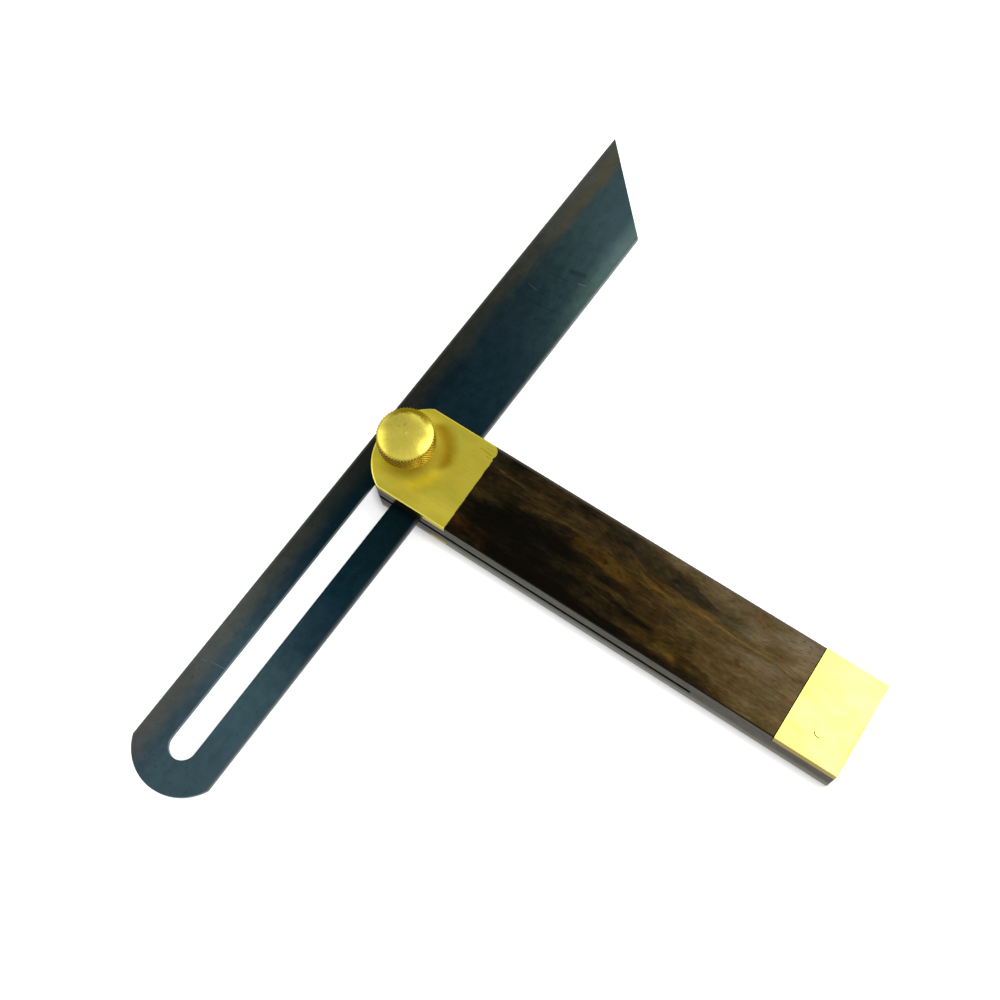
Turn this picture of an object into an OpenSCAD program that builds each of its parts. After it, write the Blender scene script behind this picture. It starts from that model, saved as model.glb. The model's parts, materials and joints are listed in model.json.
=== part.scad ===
// Sliding bevel: a slotted steel blade that swings and slides in a kerfed wooden stock.
// Millimetres. The origin is on the pivot axis, in the plane of the underside.
// +X runs along the stock to its tail, +Y to the blade's point, +Z up to the thumb knob.

/* [Stock] */
// Width of the wooden stock
stock_w = 24; // [18:0.5:34]
// Thickness of the stock, brass plates included
stock_t = 12.5; // [11.5:0.5:20]
// Distance from the pivot to the tail end
tail_x = 122; // [105:1:170]
// Distance from the pivot to the head end
head_x = 8.1; // [7:0.1:11]
// Radius of the rounded head, beyond half the stock's width
head_extra_r = 1.6; // [0.4:0.1:5]
// Distance from the pivot to the end of the saw kerf
kerf_x = 85.7; // [60:0.1:100]
// Small chamfer along the outer edges
edge_chamfer = 0.4; // [0.1:0.05:0.8]

/* [Brass plates] */
// Thickness of the two head plates
head_plate_t = 2; // [1.8:0.1:3.6]
// Distance from the pivot to the head plates' straight edge
head_plate_x = 18.3; // [16:0.1:30]
// Radius of the head plates' eased corner
plate_corner_r = 2.2; // [0.5:0.1:3]
// Thickness of the tail plate
tail_plate_t = 3.2; // [2:0.1:5]
// Length of the tail plate
tail_plate_l = 15.6; // [8:0.1:18]
// Width of the filler line between a plate and the wood
inlay_gap = 0.2; // [0.05:0.05:0.4]

/* [Plate pins] */
// Diameter of the flush pins
pin_d = 2.4; // [1.5:0.1:3]
// Distance of each head pin from the centre line
head_pin_y = 7.4; // [6.6:0.1:8.6]
// Distance of the head pins from the plates' straight edge
head_pin_inset = 6; // [3:0.1:8]
// Distance of each tail pin from the centre line
tail_pin_y = 5.4; // [3:0.1:7.5]
// Length of the tail pins
tail_pin_l = 8; // [6:0.5:10]
// Wood left between a head pin and the kerf
pin_floor = 0.5; // [0.3:0.1:1]

/* [Blade] */
// Width of the blade
blade_w = 22; // [14:0.5:30]
// Thickness of the blade
blade_t = 1.5; // [1:0.1:2.5]
// Distance from the pivot to the blade's point, as it stands
blade_tip = 104; // [80:0.5:140]
// Distance from the pivot to the rounded end, as it stands
blade_end = 96; // [80:0.5:120]
// Radius of the rounded end, beyond half the blade's width
end_extra_r = 1.2; // [0.2:0.1:5]
// Angle of the cut at the point
tip_angle = 45; // [30:1:60]
// Angle between the blade and the stock, as it stands
blade_angle = 88.2; // [60:0.1:120]
// Width of the slot
slot_w = 6.8; // [6:0.1:9]
// Steel left beyond the slot at the rounded end
slot_end_wall = 8; // [4:0.1:14]
// Length of the slot past the pivot, towards the point
slot_past = 8; // [5.2:0.1:14]
// Gap between each face of the blade and the kerf
kerf_gap = 0.1; // [0.05:0.01:0.2]

/* [Thumb screw] */
// Diameter of the threaded stud
stud_d = 5; // [3:0.1:5.2]
// Gap around the stud in its thread and in the slot follower
thread_gap = 0.05; // [0.02:0.01:0.1]
// Gap around the stud in the upper cheek
cheek_gap = 0.3; // [0.1:0.05:0.6]
// Diameter of the knurled knob
knob_d = 14; // [10.5:0.5:22]
// Height of the knurled band
band_h = 4.8; // [2.4:0.1:8]
// Height of the dome above the band
dome_h = 1.15; // [0.5:0.05:4]
// Chamfer at both ends of the band
band_chamfer = 0.4; // [0.1:0.05:0.8]
// Diameter of the neck under the band
neck_d = 7.6; // [6.6:0.1:9]
// Height of the neck
neck_h = 3.1; // [2:0.1:8]
// Diameter of the thrust washer
washer_d = 9.2; // [8:0.1:10]
// Thickness of the thrust washer
washer_t = 0.8; // [0.5:0.1:1.5]
// Gap at each face of the washer
seat_gap = 0.03; // [0.01:0.01:0.1]
// Depth of the stud in the knob
stud_seat = 2.2; // [1:0.1:2.6]

/* [Slot follower and nut] */
// Length of the follower along the slot
follower_l = 9; // [8:0.1:9.6]
// Gap between the follower and each side of the slot
follower_gap = 0.1; // [0.05:0.01:0.2]
// Diameter of the captive nut's barrel
nut_d = 8; // [6.4:0.1:9]
// Diameter of its flange
nut_flange_d = 11; // [9.6:0.1:11.6]
// Thickness of its flange
nut_flange_t = 1.2; // [0.8:0.1:1.5]
// Thickness of its closed floor
nut_floor = 0.7; // [0.4:0.1:0.75]
// Gap between the stud's end and that floor
stud_end_gap = 0.5; // [0.3:0.1:1]

/* [Hidden] */

$fn = 96;
cut_over = 1;
// Share of the dome's height that the knob's core runs up into
core_in_dome = 0.3;

brass = [0.78, 0.67, 0.28];
bare_steel = [0.62, 0.63, 0.64];
blued_steel = [0.10, 0.17, 0.21];
dark_wood = [0.16, 0.10, 0.06];

mid_z = stock_t / 2;
blade_z = mid_z - blade_t / 2;
kerf_h = blade_t + 2 * kerf_gap;
kerf_z = mid_z - kerf_h / 2;

head_r = stock_w / 2 + head_extra_r;
head_cx = head_r - head_x;
tail_plate_x = tail_x - tail_plate_l;
head_pin_x = head_plate_x - head_pin_inset;
tail_pin_x = tail_plate_x + tail_plate_l / 2;
head_pin_l = kerf_z - pin_floor;

end_r = blade_w / 2 + end_extra_r;
end_cx = end_r - blade_end;
slot_r = slot_w / 2;
slot_low = -blade_end + slot_end_wall + slot_r;
slot_high = slot_past - slot_r;

stud_z = nut_floor + stud_end_gap;
washer_z = stock_t + seat_gap;
neck_z = washer_z + washer_t + seat_gap;
band_z = neck_z + neck_h;
knob_r = knob_d / 2;
dome_base_r = knob_r - band_chamfer;
// Radius of the sphere that the dome is a cap of
dome_r = (dome_base_r * dome_base_r + dome_h * dome_h) / (2 * dome_h);

// A disc with chamfered rims, standing on z = 0
module chamfered_disc(r, h, c) {
    rotate_extrude()
        polygon([[0, 0], [r - c, 0], [r, c], [r, h - c], [r - c, h], [0, h]]);
}

// A bar along X with chamfered long edges, centred on y = 0
module chamfered_bar(x0, x1, w, h, c) {
    translate([x0, 0, 0])
        rotate([90, 0, 90])
            linear_extrude(x1 - x0)
                polygon([[-w / 2 + c, 0], [w / 2 - c, 0], [w / 2, c], [w / 2, h - c],
                         [w / 2 - c, h], [-w / 2 + c, h], [-w / 2, h - c], [-w / 2, c]]);
}

// The outside of the stock and its plates together, which every one of them is cut to
module envelope() {
    intersection() {
        chamfered_bar(-head_x - cut_over, tail_x + cut_over, stock_w, stock_t, edge_chamfer);
        union() {
            translate([head_cx, 0, 0])
                chamfered_disc(head_r, stock_t, edge_chamfer);
            translate([0, stock_w, 0])
                rotate([90, 0, 0])
                    linear_extrude(2 * stock_w)
                        polygon([[head_cx, 0], [tail_x - edge_chamfer, 0],
                                 [tail_x, edge_chamfer], [tail_x, stock_t - edge_chamfer],
                                 [tail_x - edge_chamfer, stock_t], [head_cx, stock_t]]);
        }
    }
}

// Everything on the head side of the plates' straight edge and its eased corner, grown by a gap
module head_side(z, h, gap) {
    corner_x = head_plate_x - plate_corner_r;
    corner_y = stock_w / 2 - plate_corner_r;
    translate([0, 0, z])
        difference() {
            translate([-2 * stock_w, -stock_w, 0])
                cube([2 * stock_w + head_plate_x + gap, 2 * stock_w, h]);
            translate([corner_x, corner_y, -cut_over])
                difference() {
                    cube([stock_w, stock_w, h + 2 * cut_over]);
                    cylinder(r = plate_corner_r + gap, h = h + 2 * cut_over);
                }
        }
}

module head_plate(z, pin_z) {
    difference() {
        intersection() {
            envelope();
            head_side(z, head_plate_t, 0);
        }
        pin_pair(head_pin_x, head_pin_y, pin_z, head_pin_l);
    }
}

module pin_pair(x, y, z, l) {
    for (side = [-1, 1])
        translate([x, side * y, z])
            cylinder(d = pin_d, h = l);
}

module head_pins(z) {
    color(brass)
        pin_pair(head_pin_x, head_pin_y, z, head_pin_l);
}

module kerf() {
    translate([-head_x - cut_over, -stock_w, kerf_z])
        cube([kerf_x + head_x + cut_over, 2 * stock_w, kerf_h]);
}

module stud_hole() {
    translate([0, 0, mid_z])
        cylinder(d = stud_d + 2 * cheek_gap, h = stock_t);
}

// The nut's barrel ends level with the lower cheek, at the kerf, or extra above it
module nut_body(extra = 0) {
    cylinder(d = nut_d, h = kerf_z + extra);
    cylinder(d = nut_flange_d, h = nut_flange_t);
}

module stock() {
    color(dark_wood)
        difference() {
            envelope();
            kerf();
            head_side(-cut_over, head_plate_t + cut_over, inlay_gap);
            head_side(stock_t - head_plate_t, head_plate_t + cut_over, inlay_gap);
            translate([tail_plate_x - inlay_gap, -stock_w, stock_t - tail_plate_t])
                cube([tail_plate_l + inlay_gap + cut_over, 2 * stock_w, tail_plate_t + cut_over]);
            stud_hole();
            nut_body(kerf_h / 2);
            pin_pair(head_pin_x, head_pin_y, 0, head_pin_l);
            pin_pair(head_pin_x, head_pin_y, stock_t - head_pin_l, head_pin_l);
            pin_pair(tail_pin_x, tail_pin_y, stock_t - tail_pin_l, tail_pin_l);
        }
}

module head_plate_top() {
    color(brass)
        difference() {
            head_plate(stock_t - head_plate_t, stock_t - head_pin_l);
            stud_hole();
        }
}

module head_plate_bottom() {
    color(brass)
        difference() {
            head_plate(0, 0);
            nut_body();
        }
}

module tail_plate() {
    color(brass)
        difference() {
            intersection() {
                envelope();
                translate([tail_plate_x, -stock_w, stock_t - tail_plate_t])
                    cube([tail_plate_l, 2 * stock_w, tail_plate_t]);
            }
            pin_pair(tail_pin_x, tail_pin_y, stock_t - tail_pin_l, tail_pin_l);
        }
}

module head_pins_top() {
    head_pins(stock_t - head_pin_l);
}

module head_pins_bottom() {
    head_pins(0);
}

module tail_pins() {
    color(brass)
        pin_pair(tail_pin_x, tail_pin_y, stock_t - tail_pin_l, tail_pin_l);
}

module captive_nut() {
    color(brass)
        difference() {
            nut_body();
            translate([0, 0, nut_floor])
                cylinder(d = stud_d + 2 * thread_gap, h = kerf_z);
        }
}

// A flat shape with round ends along X, from x0 to x1 between the end centres
module obround(x0, x1, r, h) {
    translate([x0, 0, 0])
        cylinder(r = r, h = h);
    translate([x1, 0, 0])
        cylinder(r = r, h = h);
    translate([x0, -r, 0])
        cube([x1 - x0, 2 * r, h]);
}

module slot_follower() {
    r = slot_r - follower_gap;
    color(brass)
        rotate([0, 0, blade_angle])
            translate([0, 0, blade_z])
                difference() {
                    obround(r - follower_l / 2, follower_l / 2 - r, r, blade_t);
                    translate([0, 0, -cut_over])
                        cylinder(d = stud_d + 2 * thread_gap, h = blade_t + 2 * cut_over);
                }
}

// The blade's outline is drawn along X, with its point at +X and its long edge at +Y
module blade() {
    heel_x = blade_tip - blade_w / tan(tip_angle);
    far_x = end_cx - end_r - cut_over;
    color(blued_steel)
        rotate([0, 0, blade_angle])
            translate([0, 0, blade_z])
                difference() {
                    intersection() {
                        linear_extrude(blade_t)
                            polygon([[far_x, -blade_w / 2], [heel_x, -blade_w / 2],
                                     [blade_tip, blade_w / 2], [far_x, blade_w / 2]]);
                        union() {
                            translate([end_cx, 0, -cut_over])
                                cylinder(r = end_r, h = blade_t + 2 * cut_over);
                            translate([end_cx, -blade_w, -cut_over])
                                cube([blade_tip - end_cx + cut_over, 2 * blade_w, blade_t + 2 * cut_over]);
                        }
                    }
                    translate([0, 0, -cut_over])
                        obround(slot_low, slot_high, slot_r, blade_t + 2 * cut_over);
                }
}

module thrust_washer() {
    color(brass)
        translate([0, 0, washer_z])
            difference() {
                cylinder(d = washer_d, h = washer_t);
                translate([0, 0, -cut_over])
                    cylinder(d = stud_d + 2 * cheek_gap, h = washer_t + 2 * cut_over);
            }
}

module clamp_stud() {
    color(bare_steel)
        translate([0, 0, stud_z])
            cylinder(d = stud_d, h = neck_z + stud_seat - stud_z);
}

module thumb_knob() {
    color(brass)
        translate([0, 0, neck_z])
            difference() {
                union() {
                    cylinder(d = neck_d, h = neck_h + band_h + core_in_dome * dome_h);
                    translate([0, 0, neck_h])
                        chamfered_disc(knob_r, band_h, band_chamfer);
                    translate([0, 0, neck_h + band_h])
                        dome();
                }
                translate([0, 0, -cut_over])
                    cylinder(d = stud_d, h = stud_seat + cut_over);
            }
}

// A cap of a sphere, standing on z = 0
module dome() {
    intersection() {
        translate([0, 0, dome_h - dome_r])
            sphere(r = dome_r);
        cylinder(r = knob_r, h = dome_h + cut_over);
    }
}

stock();
head_plate_top();
head_plate_bottom();
tail_plate();
head_pins_top();
head_pins_bottom();
tail_pins();
captive_nut();
slot_follower();
blade();
thrust_washer();
clamp_stud();
thumb_knob();
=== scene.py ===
"""The looks of a sliding bevel: a blued blade in a stock of figured wood, with brass plates and a knob.

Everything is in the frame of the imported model. Sizes are in millimetres, and MM turns them into metres.
"""

import json
import math

import bmesh
import bpy
from mathutils import Matrix, Vector, noise


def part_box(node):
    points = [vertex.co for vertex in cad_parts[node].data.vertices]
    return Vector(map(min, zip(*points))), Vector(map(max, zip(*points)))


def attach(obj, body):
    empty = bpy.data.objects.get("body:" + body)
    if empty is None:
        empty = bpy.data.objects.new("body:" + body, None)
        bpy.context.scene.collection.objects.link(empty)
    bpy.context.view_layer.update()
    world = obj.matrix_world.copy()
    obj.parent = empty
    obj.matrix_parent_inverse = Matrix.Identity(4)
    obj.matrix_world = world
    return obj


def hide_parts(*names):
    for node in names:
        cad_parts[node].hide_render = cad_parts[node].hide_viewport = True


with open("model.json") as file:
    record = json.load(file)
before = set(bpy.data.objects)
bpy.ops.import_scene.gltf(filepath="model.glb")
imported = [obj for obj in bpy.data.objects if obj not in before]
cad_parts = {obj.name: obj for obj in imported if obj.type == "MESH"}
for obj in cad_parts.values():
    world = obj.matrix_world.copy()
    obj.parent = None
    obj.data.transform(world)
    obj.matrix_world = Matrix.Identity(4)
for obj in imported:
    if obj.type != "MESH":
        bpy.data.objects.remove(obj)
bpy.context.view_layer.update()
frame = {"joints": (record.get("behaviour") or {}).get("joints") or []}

MM = 0.001

# Camera, with the pixels of a square picture PHOTO_SIDE_PX wide
PHOTO_SIDE_PX = 1000
FOCAL_PX = 1369.3
CENTRE_SHIFT_PX = (30.7, -26.2)
CAMERA_AZIMUTH = 36.09
CAMERA_ELEVATION = 68.5
CAMERA_ROLL = -2.72
CAMERA_TARGET = (24.8, 14.5, 0)
CAMERA_DISTANCE = 336
CAMERA_CLIP = 10
SENSOR_WIDTH = 36

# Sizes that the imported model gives
STOCK_LOW, STOCK_HIGH = (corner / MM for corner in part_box("stock"))
STOCK_T = STOCK_HIGH.z
STOCK_W = STOCK_HIGH.y - STOCK_LOW.y
HEAD_X = -STOCK_LOW.x
TAIL_X = STOCK_HIGH.x
HEAD_PLATE_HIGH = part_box("head_plate_bottom")[1] / MM
TAIL_PLATE_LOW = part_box("tail_plate")[0] / MM
TAIL_PIN_LOW, TAIL_PIN_HIGH = (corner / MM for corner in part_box("tail_pins"))
HEAD_PIN_LOW, HEAD_PIN_HIGH = (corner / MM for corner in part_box("head_pins_bottom"))
WASHER_LOW, WASHER_HIGH = (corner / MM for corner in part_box("thrust_washer"))
STUD_LOW, STUD_HIGH = (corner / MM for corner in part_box("clamp_stud"))
KNOB_LOW, KNOB_HIGH = (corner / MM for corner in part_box("thumb_knob"))
NUT_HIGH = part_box("captive_nut")[1] / MM
BLADE_LOW, BLADE_HIGH = (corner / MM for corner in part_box("blade"))
SLIDE_AXIS = next(j["axis"] for j in frame["joints"] if j["name"] == "blade_slide")
BLADE_ANGLE = math.atan2(SLIDE_AXIS[1], SLIDE_AXIS[0])

# Sizes that a box doesn't show
HEAD_R = 13.6
KERF_X = 85.7
KERF_H = 1.7
PLATE_CORNER_R = 2.2
PIN_R = 1.2
CHEEK_HOLE_R = 2.8
NUT_BARREL_R = 4
NUT_FLANGE_T = 1.2
NUT_FLOOR = 0.7
BORE_R = 2.55
BLADE_W = 22
BLADE_TIP = 104
BLADE_END = 96
BLADE_END_R = 12.2
BLADE_TIP_ANGLE = math.radians(45)
SLOT_W = 6.8
SLOT_END_WALL = 8
SLOT_PAST = 8
FOLLOWER_L = 9
FOLLOWER_R = 3.3
STUD_R = 2.5
NECK_R = 3.8
NECK_H = 3.1
BAND_H = 4.8
STUD_SEAT = 2.2

# Gaps between a plate and the wood, and how far their glue lies below the surface and laps over the sides
HEAD_GAP = 0.28
TAIL_GAP = 0.24
FILLER_DROP = 0.1
FILLER_LAP = 0.02

# Ragged edges at the head: reach of the wood's and the plates', lengths of the waves, and the stretch
# before the far side over which they fade out
WOOD_RAG = 0.16
PLATE_RAG = 0.08
RAG_FINE = 0.8
RAG_COARSE = 3.2
RAG_FADE = 2
EDGE_STEP = 0.3
# Seeds of the plate's edge and the wood's, and how far each is torn at TEAR_Y
TOP_EDGES = {"plate_seed": 5, "wood_seed": 11, "plate_tear": -0.30, "wood_tear": 0.12}
BOTTOM_EDGES = {"plate_seed": 6, "wood_seed": 12, "plate_tear": 0.0, "wood_tear": 0.0}
TEAR_Y = 8.8
TEAR_REACH = 0.28

# How far the nearer tail pin's hole is knocked out of round, how deep, and the dark fill in it, which paints
# the shade of that crescent
PIN_NICK = Vector((-0.09, -0.24))
PIN_NICK_DEPTH = 0.5
NICK_SHADE_DROP = 0.05
NICK_SHADE_GAP = 0.01

# Radii of eased edges: the wood's far, near and lower ones, the plates', the blade's and the small parts'
WOOD_FAR_EASE = 0.45
WOOD_NEAR_EASE = 0.2
LOWER_EASE = 0.25
HEAD_PLATE_EASE = 0.45
TAIL_PLATE_EASE = 0.16
BLADE_EASE = 0.18
SMALL_EASE = 0.12

# The nut's chamfered bore, and the small hollow that the lathe's centre left in its face
BORE_CHAMFER = 0.3
HOLLOW_R = 0.6
HOLLOW_H = 0.08

# The stud's thread and tapered end
THREAD_PITCH = 0.8
THREAD_DEPTH = 0.42
THREAD_STEEPNESS = 1.25
THREAD_SAMPLES = 10
STUD_SEGMENTS = 64
STUD_TAPER = 0.5

# The knob's seat and neck, its knurl, and its dome
SEAT_GAP = 0.02
NECK_CHAMFER = 0.15
NECK_FILLET = 0.4
NECK_FILLET_STEPS = 6
KNURL_TEETH = 56
KNURL_DEPTH = 0.42
KNURL_AXIAL_PITCH = 1.3
KNURL_STEEPNESS = 1.2
KNURL_SAMPLES = 10
BAND_SHOULDER = 0.24
BAND_UNDERCUT = 0.3
DOME_POWER = 3.2
DOME_NUB_R = 0.45
DOME_NUB_H = 0.07
DOME_ROWS = 32
# Towards the side where the knob's rim is darker, and the side of the band that is painted darker as shade
DARK_RIM_SIDE = (-0.34, 0.94, 0.0)
DARK_SIDE = (-0.45, -0.89, 0.0)

# Fineness of arcs and turned parts, the angle from which an edge is eased, and how near counts as level
ARC_STEP = math.radians(2)
ROUND_SEGMENTS = 96
EASED_ANGLE = math.radians(20)
LEVEL = 0.01

# Reach of a tool that cuts right across the part, and of one that comes out of a face
FAR = 4 * STOCK_W
OVER = 1

# The floor: half its width, how far below the part it lies, and the white that the eye and reflections see,
# as the share that takes the shadow and the share that glows
FLOOR_HALF = 3000
FLOOR_DROP = 0.02
FLOOR_DIFFUSE = 0.8
SEEN_WHITE = (0.88, 0.58)
MIRRORED_WHITE = (0.3, 0.83)
# Shade where the part meets the floor: its reach, how open its two ends are, and its darkest level
SHADE_REACH = 2.2
SHADE_SPAN = (0.5, 0.97)
SHADE_DARKEST = 0.45

# The studio's light: walls, ceiling, how the ceiling's changes with direction, and where it begins
WALL_LIGHT = 1.15
CEILING_LIGHT = 0.74
CEILING_SLOPE = (0.38, -0.20, 0)
CEILING_RISE = (0.36, 0.66)

HEAD_CENTRE_X = HEAD_R - HEAD_X
HEAD_HALF_ANGLE = math.asin(STOCK_W / 2 / HEAD_R)
HEAD_PLATE_T = HEAD_PLATE_HIGH.z
KERF_LOW = (STOCK_T - KERF_H) / 2
PIN_DEPTH = TAIL_PIN_HIGH.z - TAIL_PIN_LOW.z
HEAD_PIN_L = HEAD_PIN_HIGH.z


def pin_places(low, high):
    """The middles of a pair of pins, from their box."""
    return [((low.x + high.x) / 2, side * (high.y - PIN_R)) for side in (-1, 1)]


HEAD_PINS = pin_places(HEAD_PIN_LOW, HEAD_PIN_HIGH)
TAIL_PINS = pin_places(TAIL_PIN_LOW, TAIL_PIN_HIGH)
NICK = Vector(TAIL_PINS[0]) + PIN_NICK


def arc(centre, radius, start, end, steps=None):
    """Points in millimetres along an arc, with both ends. The angles are in radians."""
    steps = steps or max(2, math.ceil(abs(end - start) / ARC_STEP))
    turns = (start + (end - start) * i / steps for i in range(steps + 1))
    return [(centre[0] + radius * math.cos(a), centre[1] + radius * math.sin(a)) for a in turns]


def capsule(low, high, radius):
    """The outline of a shape with two round ends, from x = low to x = high."""
    return [*arc((low + radius, 0), radius, math.pi / 2, 1.5 * math.pi),
            *arc((high - radius, 0), radius, -math.pi / 2, math.pi / 2)]


def link(name, data):
    """An object in the scene, for a mesh, a lamp or a camera."""
    made = bpy.data.objects.new(name, data)
    bpy.context.scene.collection.objects.link(made)
    return made


def from_bmesh(name, bm):
    """An object for a bmesh in millimetres, with its faces turned outwards."""
    bmesh.ops.recalc_face_normals(bm, faces=bm.faces)
    bmesh.ops.scale(bm, vec=(MM, MM, MM), verts=bm.verts)
    mesh = bpy.data.meshes.new(name)
    bm.to_mesh(mesh)
    bm.free()
    return link(name, mesh)


def slab(name, outline, low, high):
    """An outline raised from z = low to z = high."""
    bm = bmesh.new()
    floor = bm.faces.new([bm.verts.new((x, y, low)) for x, y in outline])
    raised = bmesh.ops.extrude_face_region(bm, geom=[floor])["geom"]
    tops = [v for v in raised if isinstance(v, bmesh.types.BMVert)]
    bmesh.ops.translate(bm, vec=(0, 0, high - low), verts=tops)
    return from_bmesh(name, bm)


def block(name, low, high):
    """A box between two corners, used to cut with."""
    corners = [(low[0], low[1]), (high[0], low[1]), (high[0], high[1]), (low[0], high[1])]
    return slab(name, corners, low[2], high[2])


def rod(name, place, radius, low, high):
    """An upright round bar."""
    return slab(name, arc(place, radius, 0, 2 * math.pi)[:-1], low, high)


def pin_holes(places, low, high):
    """The bars that cut a pair of pins' holes."""
    return [rod("pin_hole", place, PIN_R, low, high) for place in places]


def bake_modifiers(piece):
    """Turns a piece's modifiers into its mesh."""
    graph = bpy.context.evaluated_depsgraph_get()
    mesh = bpy.data.meshes.new_from_object(piece.evaluated_get(graph))
    piece.modifiers.clear()
    piece.data = mesh


def cut(piece, tools):
    """Takes the tools' shapes out of a piece, and removes the tools."""
    for tool in tools:
        change = piece.modifiers.new(tool.name, "BOOLEAN")
        change.operation = "DIFFERENCE"
        change.solver = "EXACT"
        change.object = tool
    bake_modifiers(piece)
    for tool in tools:
        bpy.data.objects.remove(tool)


def ease(piece, width_at, segments=3):
    """Rounds each sharp edge by the width in millimetres that width_at gives for its middle."""
    bm = bmesh.new()
    bm.from_mesh(piece.data)
    weight = bm.edges.layers.float.new("bevel_weight_edge")
    widths = {}
    for edge in bm.edges:
        if edge.calc_face_angle(0) > EASED_ANGLE:
            widths[edge] = width_at((edge.verts[0].co + edge.verts[1].co) / 2 / MM)
    widest = max(widths.values())
    for edge, width in widths.items():
        edge[weight] = width / widest
    bm.to_mesh(piece.data)
    bm.free()
    bevel = piece.modifiers.new("ease", "BEVEL")
    bevel.limit_method = "WEIGHT"
    bevel.width = widest * MM
    bevel.segments = segments
    bevel.use_clamp_overlap = False
    bake_modifiers(piece)


def smooth(piece, sharp_over=30):
    """Smooth shading that keeps flat faces flat, with edges over an angle in degrees kept sharp."""
    for face in piece.data.polygons:
        face.use_smooth = True
    piece.data.set_sharp_from_angle(angle=math.radians(sharp_over))
    weighted = piece.modifiers.new("normals", "WEIGHTED_NORMAL")
    weighted.keep_sharp = True
    bake_modifiers(piece)


def revolve(name, rows, segments=ROUND_SEGMENTS, radius_at=None):
    """A turned shape. rows are (r, z), from the axis back to it, or right round the section of a ring.

    radius_at gives r anew from a row's index, r and z and the angle in radians.
    """
    bm = bmesh.new()
    rings = []
    for index, (r, z) in enumerate(rows):
        if r == 0:
            rings.append([bm.verts.new((0, 0, z))])
            continue
        ring = []
        for i in range(segments):
            a = 2 * math.pi * i / segments
            reach = radius_at(index, r, z, a) if radius_at else r
            ring.append(bm.verts.new((reach * math.cos(a), reach * math.sin(a), z)))
        rings.append(ring)
    closing = rings[:1] if rows[0][0] else []
    for lower, upper in zip(rings, rings[1:] + closing):
        for i in range(segments):
            j = (i + 1) % segments
            low_pair = [lower[i % len(lower)], lower[j % len(lower)]]
            high_pair = [upper[j % len(upper)], upper[i % len(upper)]]
            bm.faces.new(list(dict.fromkeys(low_pair + high_pair)))
    return from_bmesh(name, bm)


def waver(seed, along, size, reach):
    """A small offset that changes smoothly along an edge."""
    return reach * noise.noise(Vector((along / size, seed, 0.5 * seed)))


def feed(socket, value):
    """Links a socket, or sets its value. None leaves it alone."""
    if isinstance(value, bpy.types.NodeSocket):
        socket.id_data.links.new(value, socket)
    elif value is not None:
        socket.default_value = value


def add_node(tree, kind, *inputs, **settings):
    """A shader node with its first inputs fed and its settings set."""
    made = tree.nodes.new(kind)
    for name, value in settings.items():
        setattr(made, name, value)
    for socket, value in zip(made.inputs, inputs):
        feed(socket, value)
    return made


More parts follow.
